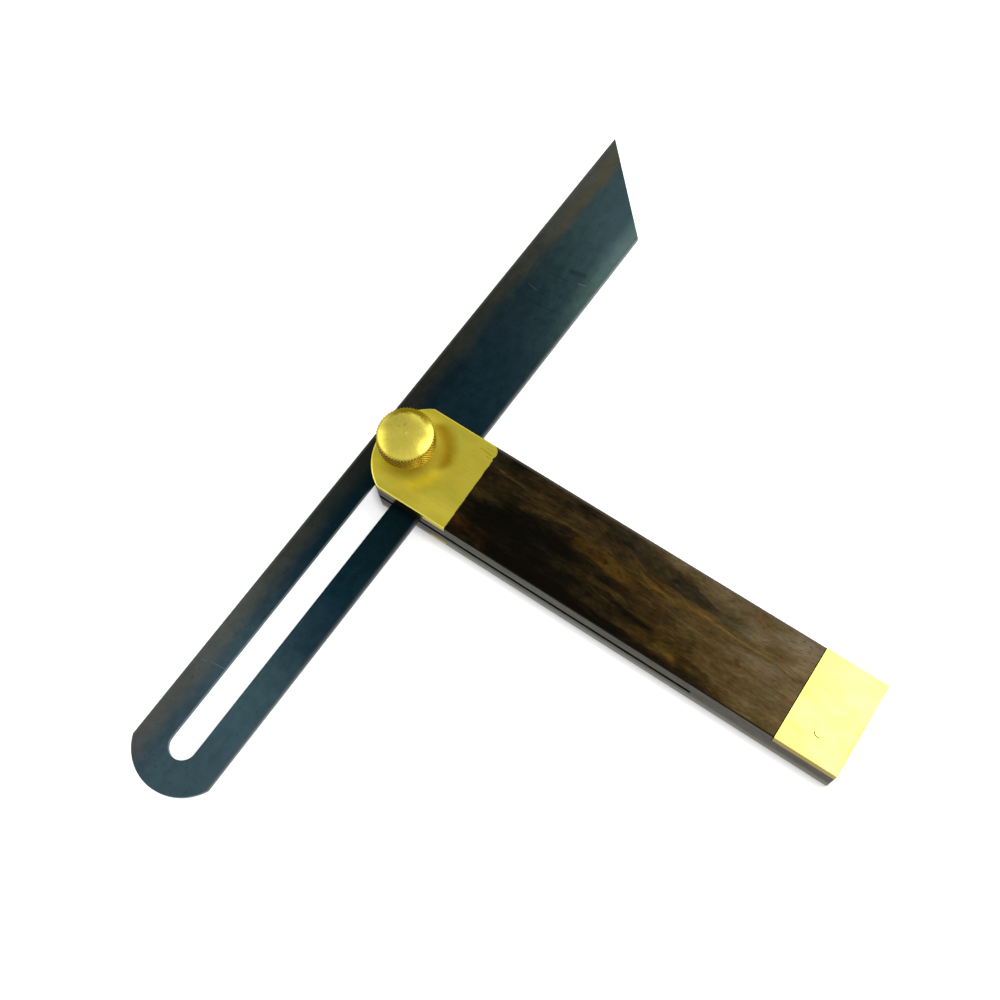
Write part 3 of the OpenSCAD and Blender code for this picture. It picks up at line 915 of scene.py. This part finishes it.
def build_stock(material):
    """The wooden bar with its kerf, recesses and holes."""
    stock = envelope("dressed_stock", WOOD_FAR_EASE, WOOD_NEAR_EASE)
    recess_low = (TAIL_PLATE_LOW.x - TAIL_GAP, -FAR, TAIL_PLATE_LOW.z)
    cut(stock, [
        block("kerf", (-FAR, -FAR, KERF_LOW), (KERF_X, FAR, KERF_LOW + KERF_H)),
        rod("cheek_hole", (0, 0), CHEEK_HOLE_R, STOCK_T / 2, STOCK_T + OVER),
        rod("nut_hole", (0, 0), NUT_BARREL_R, -OVER, STOCK_T / 2),
        block("tail_recess", recess_low, (TAIL_X + OVER, FAR, STOCK_T + OVER)),
        head_side(wood_edge(TOP_EDGES), STOCK_T - HEAD_PLATE_T, STOCK_T + OVER),
        head_side(wood_edge(BOTTOM_EDGES), -OVER, HEAD_PLATE_T),
        *pin_holes(TAIL_PINS, STOCK_T - PIN_DEPTH, STOCK_T),
    ])
    smooth(stock)
    place_piece(stock, "stock", "stock_wood", material, "stock")


def build_head_plate(node, low, edges, hole_r, material):
    """A head plate with its holes and a straight edge that isn't quite clean."""
    high = low + HEAD_PLATE_T
    plate = envelope(f"dressed_{node}", HEAD_PLATE_EASE, HEAD_PLATE_EASE)
    if low > 0:
        rest = block("below", (-FAR, -FAR, -OVER), (FAR, FAR, low))
    else:
        rest = block("above", (-FAR, -FAR, high), (FAR, FAR, STOCK_T + OVER))
    cut(plate, [
        rest,
        tail_side(plate_edge(edges), -OVER, STOCK_T + OVER),
        rod("hole", (0, 0), hole_r, low - OVER, high + OVER),
        *pin_holes(HEAD_PINS, low - OVER, high + OVER),
    ])
    smooth(plate)
    place_piece(plate, "stock", "plate_brass", material, node)


def build_tail_plate(material):
    """The tail plate, with its pins' holes and the nick beside one of them."""
    low = TAIL_PLATE_LOW
    plate = envelope("dressed_tail_plate", TAIL_PLATE_EASE, TAIL_PLATE_EASE)
    cut(plate, [
        block("below", (-FAR, -FAR, -OVER), (TAIL_X + FAR, FAR, low.z)),
        block("before", (-FAR, -FAR, -OVER), (low.x, FAR, STOCK_T + OVER)),
        *pin_holes(TAIL_PINS, low.z - OVER, STOCK_T + OVER),
        rod("nick", NICK, PIN_R, STOCK_T - PIN_NICK_DEPTH, STOCK_T + OVER),
    ])
    smooth(plate)
    place_piece(plate, "stock", "plate_brass", material, "tail_plate")


def build_pins(node, places, low, high, material):
    """Flush pins, all in one piece."""
    name = f"dressed_{node}"
    bm = bmesh.new()
    for place in places:
        pin = rod(name, place, PIN_R, low, high)
        smooth(pin)
        bm.from_mesh(pin.data)
        bpy.data.objects.remove(pin)
    mesh = bpy.data.meshes.new(name)
    bm.to_mesh(mesh)
    bm.free()
    place_piece(link(name, mesh), "stock", "plate_brass", material, node)


def build_filler(name, inner, outer, low, high, material):
    """A strip of glue between a plate's edge and the wood's."""
    place_piece(slab(name, [*inner, *reversed(outer)], low, high), "stock", "stock_wood", material)


def build_fillers(material):
    """The glue in the three joints, and a dark fill in the nick beside a pin as painted shade."""
    half = STOCK_W / 2 - FILLER_DROP
    upper = (STOCK_T - HEAD_PLATE_T, STOCK_T - FILLER_DROP)
    lower = (FILLER_DROP, HEAD_PLATE_T)
    for name, edges, (low, high) in (("upper", TOP_EDGES, upper), ("lower", BOTTOM_EDGES, lower)):
        inner = [p for p in plate_edge(edges, FILLER_LAP) if abs(p[1]) <= half]
        outer = [p for p in wood_edge(edges, FILLER_LAP) if abs(p[1]) <= half]
        build_filler(f"dressed_head_filler_{name}", inner, outer, low, high, material)
    x = TAIL_PLATE_LOW.x
    inner = [(x, -half), (x, half)]
    outer = [(x - TAIL_GAP, -half), (x - TAIL_GAP, half)]
    build_filler("dressed_tail_filler", inner, outer, TAIL_PLATE_LOW.z, STOCK_T - FILLER_DROP, material)
    # Painted shade: a dark crescent filling the nick beside the pin
    crescent = rod("dressed_nick_shade", NICK, PIN_R - NICK_SHADE_GAP,
                   STOCK_T - PIN_NICK_DEPTH, STOCK_T - NICK_SHADE_DROP)
    cut(crescent, [rod("pin", TAIL_PINS[0], PIN_R + NICK_SHADE_GAP, 0, STOCK_T + OVER)])
    place_piece(crescent, "stock", "stock_wood", material)


def build_blade(material):
    """The slotted strip, with a rounded end and a point."""
    half = math.asin(BLADE_W / 2 / BLADE_END_R)
    heel = BLADE_TIP - BLADE_W / math.tan(BLADE_TIP_ANGLE)
    outline = [*arc((BLADE_END_R - BLADE_END, 0), BLADE_END_R, math.pi - half, math.pi + half),
               (heel, -BLADE_W / 2), (BLADE_TIP, BLADE_W / 2)]
    blade = slab("dressed_blade", outline, BLADE_LOW.z, BLADE_HIGH.z)
    ease(blade, lambda middle: BLADE_EASE)
    slot = capsule(SLOT_END_WALL - BLADE_END, SLOT_PAST, SLOT_W / 2)
    cut(blade, [slab("slot", slot, BLADE_LOW.z - OVER, BLADE_HIGH.z + OVER)])
    smooth(blade)
    blade.data.transform(Matrix.Rotation(BLADE_ANGLE, 4, "Z"))
    place_piece(blade, "blade", "blued_steel", material, "blade")


def build_follower(material):
    """The block on the stud that the blade's slot slides on."""
    outline = capsule(-FOLLOWER_L / 2, FOLLOWER_L / 2, FOLLOWER_R)
    follower = slab("dressed_follower", outline, BLADE_LOW.z, BLADE_HIGH.z)
    ease(follower, lambda middle: SMALL_EASE)
    cut(follower, [rod("bore", (0, 0), BORE_R, 0, STOCK_T)])
    smooth(follower)
    follower.data.transform(Matrix.Rotation(BLADE_ANGLE, 4, "Z"))
    place_piece(follower, "follower", "turned_brass", material, "slot_follower")


def build_nut(material):
    """The captive nut: a flange and a barrel with a blind bore."""
    flange_r = NUT_HIGH.x
    high = NUT_HIGH.z
    c = SMALL_EASE
    rows = [(0, HOLLOW_H), (HOLLOW_R, 0), (flange_r - c, 0), (flange_r, c),
            (flange_r, NUT_FLANGE_T - c), (flange_r - c, NUT_FLANGE_T),
            (NUT_BARREL_R, NUT_FLANGE_T), (NUT_BARREL_R, high - c), (NUT_BARREL_R - c, high),
            (BORE_R + BORE_CHAMFER, high), (BORE_R, high - BORE_CHAMFER),
            (BORE_R, NUT_FLOOR), (0, NUT_FLOOR)]
    nut = revolve("dressed_nut", rows)
    smooth(nut)
    place_piece(nut, "stock", "turned_brass", material, "captive_nut")


def build_washer(material):
    """A flat ring with chamfered edges."""
    inner = CHEEK_HOLE_R
    outer = WASHER_HIGH.x
    low = WASHER_LOW.z
    high = WASHER_HIGH.z
    c = SMALL_EASE
    rows = [(inner + c, low), (outer - c, low), (outer, low + c), (outer, high - c),
            (outer - c, high), (inner + c, high), (inner, high - c), (inner, low + c)]
    washer = revolve("dressed_washer", rows)
    smooth(washer)
    place_piece(washer, "washer", "turned_brass", material, "thrust_washer")


def build_stud(material):
    """The screw's threaded shank, with a tapered end."""
    low = STUD_LOW.z
    high = STUD_HIGH.z
    count = math.ceil((high - low) / (THREAD_PITCH / THREAD_SAMPLES))
    rows = [(0, low), *((STUD_R, low + (high - low) * i / count) for i in range(count + 1)), (0, high)]

    def radius_at(index, r, z, a):
        turn = (z - low) / THREAD_PITCH - a / (2 * math.pi)
        groove = min(1, THREAD_STEEPNESS * abs(2 * (turn % 1) - 1))
        taper = max(0, STUD_TAPER - (z - low))
        return r - max(THREAD_DEPTH * groove, taper)

    stud = revolve("dressed_stud", rows, STUD_SEGMENTS, radius_at)
    smooth(stud, sharp_over=40)
    place_piece(stud, "screw", "bare_steel", material, "clamp_stud")


def build_knob(material):
    """The thumb knob: a neck, a diamond-knurled band and a flat dome with a small nub left by the lathe."""
    low = KNOB_LOW.z
    top = KNOB_HIGH.z
    knob_r = KNOB_HIGH.x
    band_low = low + NECK_H
    band_high = band_low + BAND_H
    rim_r = knob_r - BAND_SHOULDER
    dome_h = top - band_high - DOME_NUB_H
    seat_r = STUD_R + SEAT_GAP
    rows = [(0, low + STUD_SEAT), (seat_r, low + STUD_SEAT), (seat_r, low + NECK_CHAMFER),
            (seat_r + NECK_CHAMFER, low), (NECK_R - NECK_CHAMFER, low), (NECK_R, low + NECK_CHAMFER)]
    fillet_centre = (NECK_R + NECK_FILLET, band_low - NECK_FILLET)
    rows += arc(fillet_centre, NECK_FILLET, math.pi, math.pi / 2, NECK_FILLET_STEPS)
    rows.append((rim_r - BAND_UNDERCUT, band_low))
    first_knurled = len(rows)
    count = round(BAND_H / (KNURL_AXIAL_PITCH / KNURL_SAMPLES))
    for i in range(count + 1):
        z = band_low + BAND_H * i / count
        rows.append((min(knob_r, rim_r + (z - band_low), rim_r + (band_high - z)), z))
    last_knurled = len(rows)
    for i in range(1, DOME_ROWS):
        share = 1 - i / DOME_ROWS
        r = rim_r * share
        nub = DOME_NUB_H * max(0, 1 - (r / DOME_NUB_R) ** 2)
        rows.append((r, band_high + dome_h * (1 - share ** DOME_POWER) + nub))
    rows.append((0, top))

    def radius_at(index, r, z, a):
        if not first_knurled <= index < last_knurled:
            return r
        turn = KNURL_TEETH * a / (2 * math.pi)
        climb = (z - band_low) / KNURL_AXIAL_PITCH
        heights = [1 - abs(2 * (t % 1) - 1) for t in (turn + climb, turn - climb)]
        return min(r, knob_r - KNURL_DEPTH * (1 - min(1, KNURL_STEEPNESS * min(heights))))

    knob = revolve("dressed_knob", rows, KNURL_TEETH * KNURL_SAMPLES, radius_at)
    smooth(knob, sharp_over=34)
    place_piece(knob, "screw", "knob_brass", material, "thumb_knob")


def make_floor():
    """A white sheet: plain diffuse to the light, and white with a soft shadow to the eye and in reflections.

    To the eye it is also darker close to the part, and from below it is clear.
    """
    half = FLOOR_HALF * MM
    corners = [(-half, -half, 0), (half, -half, 0), (half, half, 0), (-half, half, 0)]
    mesh = bpy.data.meshes.new("floor")
    mesh.from_pydata(corners, [], [(0, 1, 2, 3)])
    floor = link("floor", mesh)
    floor.location.z = -FLOOR_DROP * MM
    material = bpy.data.materials.new("white_sheet")
    material.use_nodes = True
    tree = material.node_tree
    tree.nodes.clear()
    path = add_node(tree, "ShaderNodeLightPath").outputs
    mirrored = add_node(tree, "ShaderNodeMath", path["Is Glossy Ray"], path["Is Transmission Ray"],
                        operation="MAXIMUM").outputs[0]
    open_sky = add_node(tree, "ShaderNodeAmbientOcclusion", None, SHADE_REACH * MM, samples=4).outputs["AO"]
    shade = add_node(tree, "ShaderNodeMapRange", open_sky, *SHADE_SPAN, SHADE_DARKEST, 1.0).outputs[0]
    sheet = add_node(tree, "ShaderNodeBsdfDiffuse", (FLOOR_DIFFUSE, FLOOR_DIFFUSE, FLOOR_DIFFUSE, 1))
    looks = ((mirrored, MIRRORED_WHITE, 1.0), (path["Is Camera Ray"], SEEN_WHITE, shade))
    for share, (diffuse, glow), strength in looks:
        dull = add_node(tree, "ShaderNodeBsdfDiffuse", (diffuse, diffuse, diffuse, 1))
        lit = add_node(tree, "ShaderNodeEmission", (1, 1, 1, 1), glow)
        white = add_node(tree, "ShaderNodeAddShader", dull.outputs[0], lit.outputs[0])
        white = add_node(tree, "ShaderNodeMixShader", strength, None, white.outputs[0])
        sheet = add_node(tree, "ShaderNodeMixShader", share, sheet.outputs[0], white.outputs[0])
    below = add_node(tree, "ShaderNodeNewGeometry").outputs["Backfacing"]
    clear = add_node(tree, "ShaderNodeBsdfTransparent")
    both = add_node(tree, "ShaderNodeMixShader", below, sheet.outputs[0], clear.outputs[0])
    add_node(tree, "ShaderNodeOutputMaterial", both.outputs[0])
    mesh.materials.append(material)


def make_world():
    """A plain studio: walls a little brighter than white, and a greyer ceiling that slopes in brightness."""
    world = bpy.data.worlds.new("studio")
    bpy.context.scene.world = world
    world.use_nodes = True
    tree = world.node_tree
    place = add_node(tree, "ShaderNodeTexCoord").outputs["Generated"]
    height = add_node(tree, "ShaderNodeSeparateXYZ", place).outputs["Z"]
    slope = add_node(tree, "ShaderNodeVectorMath", place, CEILING_SLOPE, operation="DOT_PRODUCT")
    ceiling = add_node(tree, "ShaderNodeMath", slope.outputs["Value"], CEILING_LIGHT, operation="ADD")
    rise = add_node(tree, "ShaderNodeMapRange", height, *CEILING_RISE, interpolation_type="SMOOTHSTEP")
    level = add_node(tree, "ShaderNodeMix", rise.outputs[0], None, WALL_LIGHT, ceiling.outputs[0])
    background = tree.nodes["Background"]
    feed(background.inputs["Color"], (1, 1, 1, 1))
    feed(background.inputs["Strength"], level.outputs[0])


def make_softbox(name, place, aim, size, level):
    """A rectangular lamp at a place, facing a point. Millimetres, and its brightness beside white."""
    data = bpy.data.lights.new(name, "AREA")
    data.shape = "RECTANGLE"
    data.size = size[0] * MM
    data.size_y = size[1] * MM
    data.energy = level * math.pi * data.size * data.size_y
    lamp = link(name, data)
    lamp.location = Vector(place) * MM
    lamp.rotation_mode = "QUATERNION"
    lamp.rotation_quaternion = (Vector(aim) - Vector(place)).to_track_quat("-Z", "Y")


def make_camera():
    """The photograph's view."""
    a = math.radians(CAMERA_AZIMUTH)
    e = math.radians(CAMERA_ELEVATION)
    back = Vector((math.sin(a) * math.cos(e), -math.cos(a) * math.cos(e), math.sin(e)))
    right = Vector((math.cos(a), math.sin(a), 0))
    pose = Matrix((right, back.cross(right), back)).transposed().to_4x4()
    data = bpy.data.cameras.new("camera")
    data.sensor_width = SENSOR_WIDTH
    data.lens = FOCAL_PX / PHOTO_SIDE_PX * SENSOR_WIDTH
    data.shift_x = -CENTRE_SHIFT_PX[0] / PHOTO_SIDE_PX
    data.shift_y = CENTRE_SHIFT_PX[1] / PHOTO_SIDE_PX
    data.clip_start = CAMERA_CLIP * MM
    camera = link("camera", data)
    camera.matrix_world = pose @ Matrix.Rotation(math.radians(CAMERA_ROLL), 4, "Z")
    camera.location = (Vector(CAMERA_TARGET) + back * CAMERA_DISTANCE) * MM
    bpy.context.scene.camera = camera


make_camera()
make_floor()
make_world()
make_softbox("key", (291, 227, 473), (146, 17, -7), (260, 450), 3.4)
make_softbox("far_key", (185, 458, 395), (70, 0, 0), (260, 280), 3.4)
make_softbox("point_side", (-130, 580, 500), (0, 100, 0), (460, 340), 0.6)
make_softbox("left", (-400, -190, 350), (0, -20, 0), (500, 300), 1.3)

bpy.context.scene.view_settings.view_transform = "Standard"

wood = make_wood()
# The fourth colour of each plate brass is the painted shade of its sides
head_brass = make_plate_brass("sanded_brass", (0.70, 0.60, 0.064), (0.655, 0.54, 0.050),
                              (0.075, 0.066, 0.012), 0.25, HEAD_PLATE_MARKS)
tail_brass = make_plate_brass("polished_brass", (0.76, 0.69, 0.145), (0.73, 0.66, 0.13),
                              (0.245, 0.20, 0.034), 0.20, TAIL_PLATE_MARKS)
turned_brass = make_turned_brass("turned_brass", (0.72, 0.60, 0.09), 0.24)
knurl_band = (KNOB_HIGH.x, KNOB_LOW.z + NECK_H, KNOB_LOW.z + NECK_H + BAND_H)
knob_brass = make_turned_brass("knob_brass", (0.78, 0.66, 0.10), 0.28, knurl_band)
steel = make_bare_steel()
blued = make_blued_steel()
filler = make_filler()

build_stock(wood)
build_head_plate("head_plate_top", STOCK_T - HEAD_PLATE_T, TOP_EDGES, CHEEK_HOLE_R, head_brass)
build_head_plate("head_plate_bottom", 0, BOTTOM_EDGES, NUT_BARREL_R, head_brass)
build_tail_plate(tail_brass)
build_pins("head_pins_top", HEAD_PINS, STOCK_T - HEAD_PIN_L, STOCK_T, head_brass)
build_pins("head_pins_bottom", HEAD_PINS, 0, HEAD_PIN_L, head_brass)
build_pins("tail_pins", TAIL_PINS, TAIL_PIN_LOW.z, STOCK_T, tail_brass)
build_fillers(filler)
build_nut(turned_brass)
build_blade(blued)
build_follower(turned_brass)
build_washer(turned_brass)
build_stud(steel)
build_knob(knob_brass)
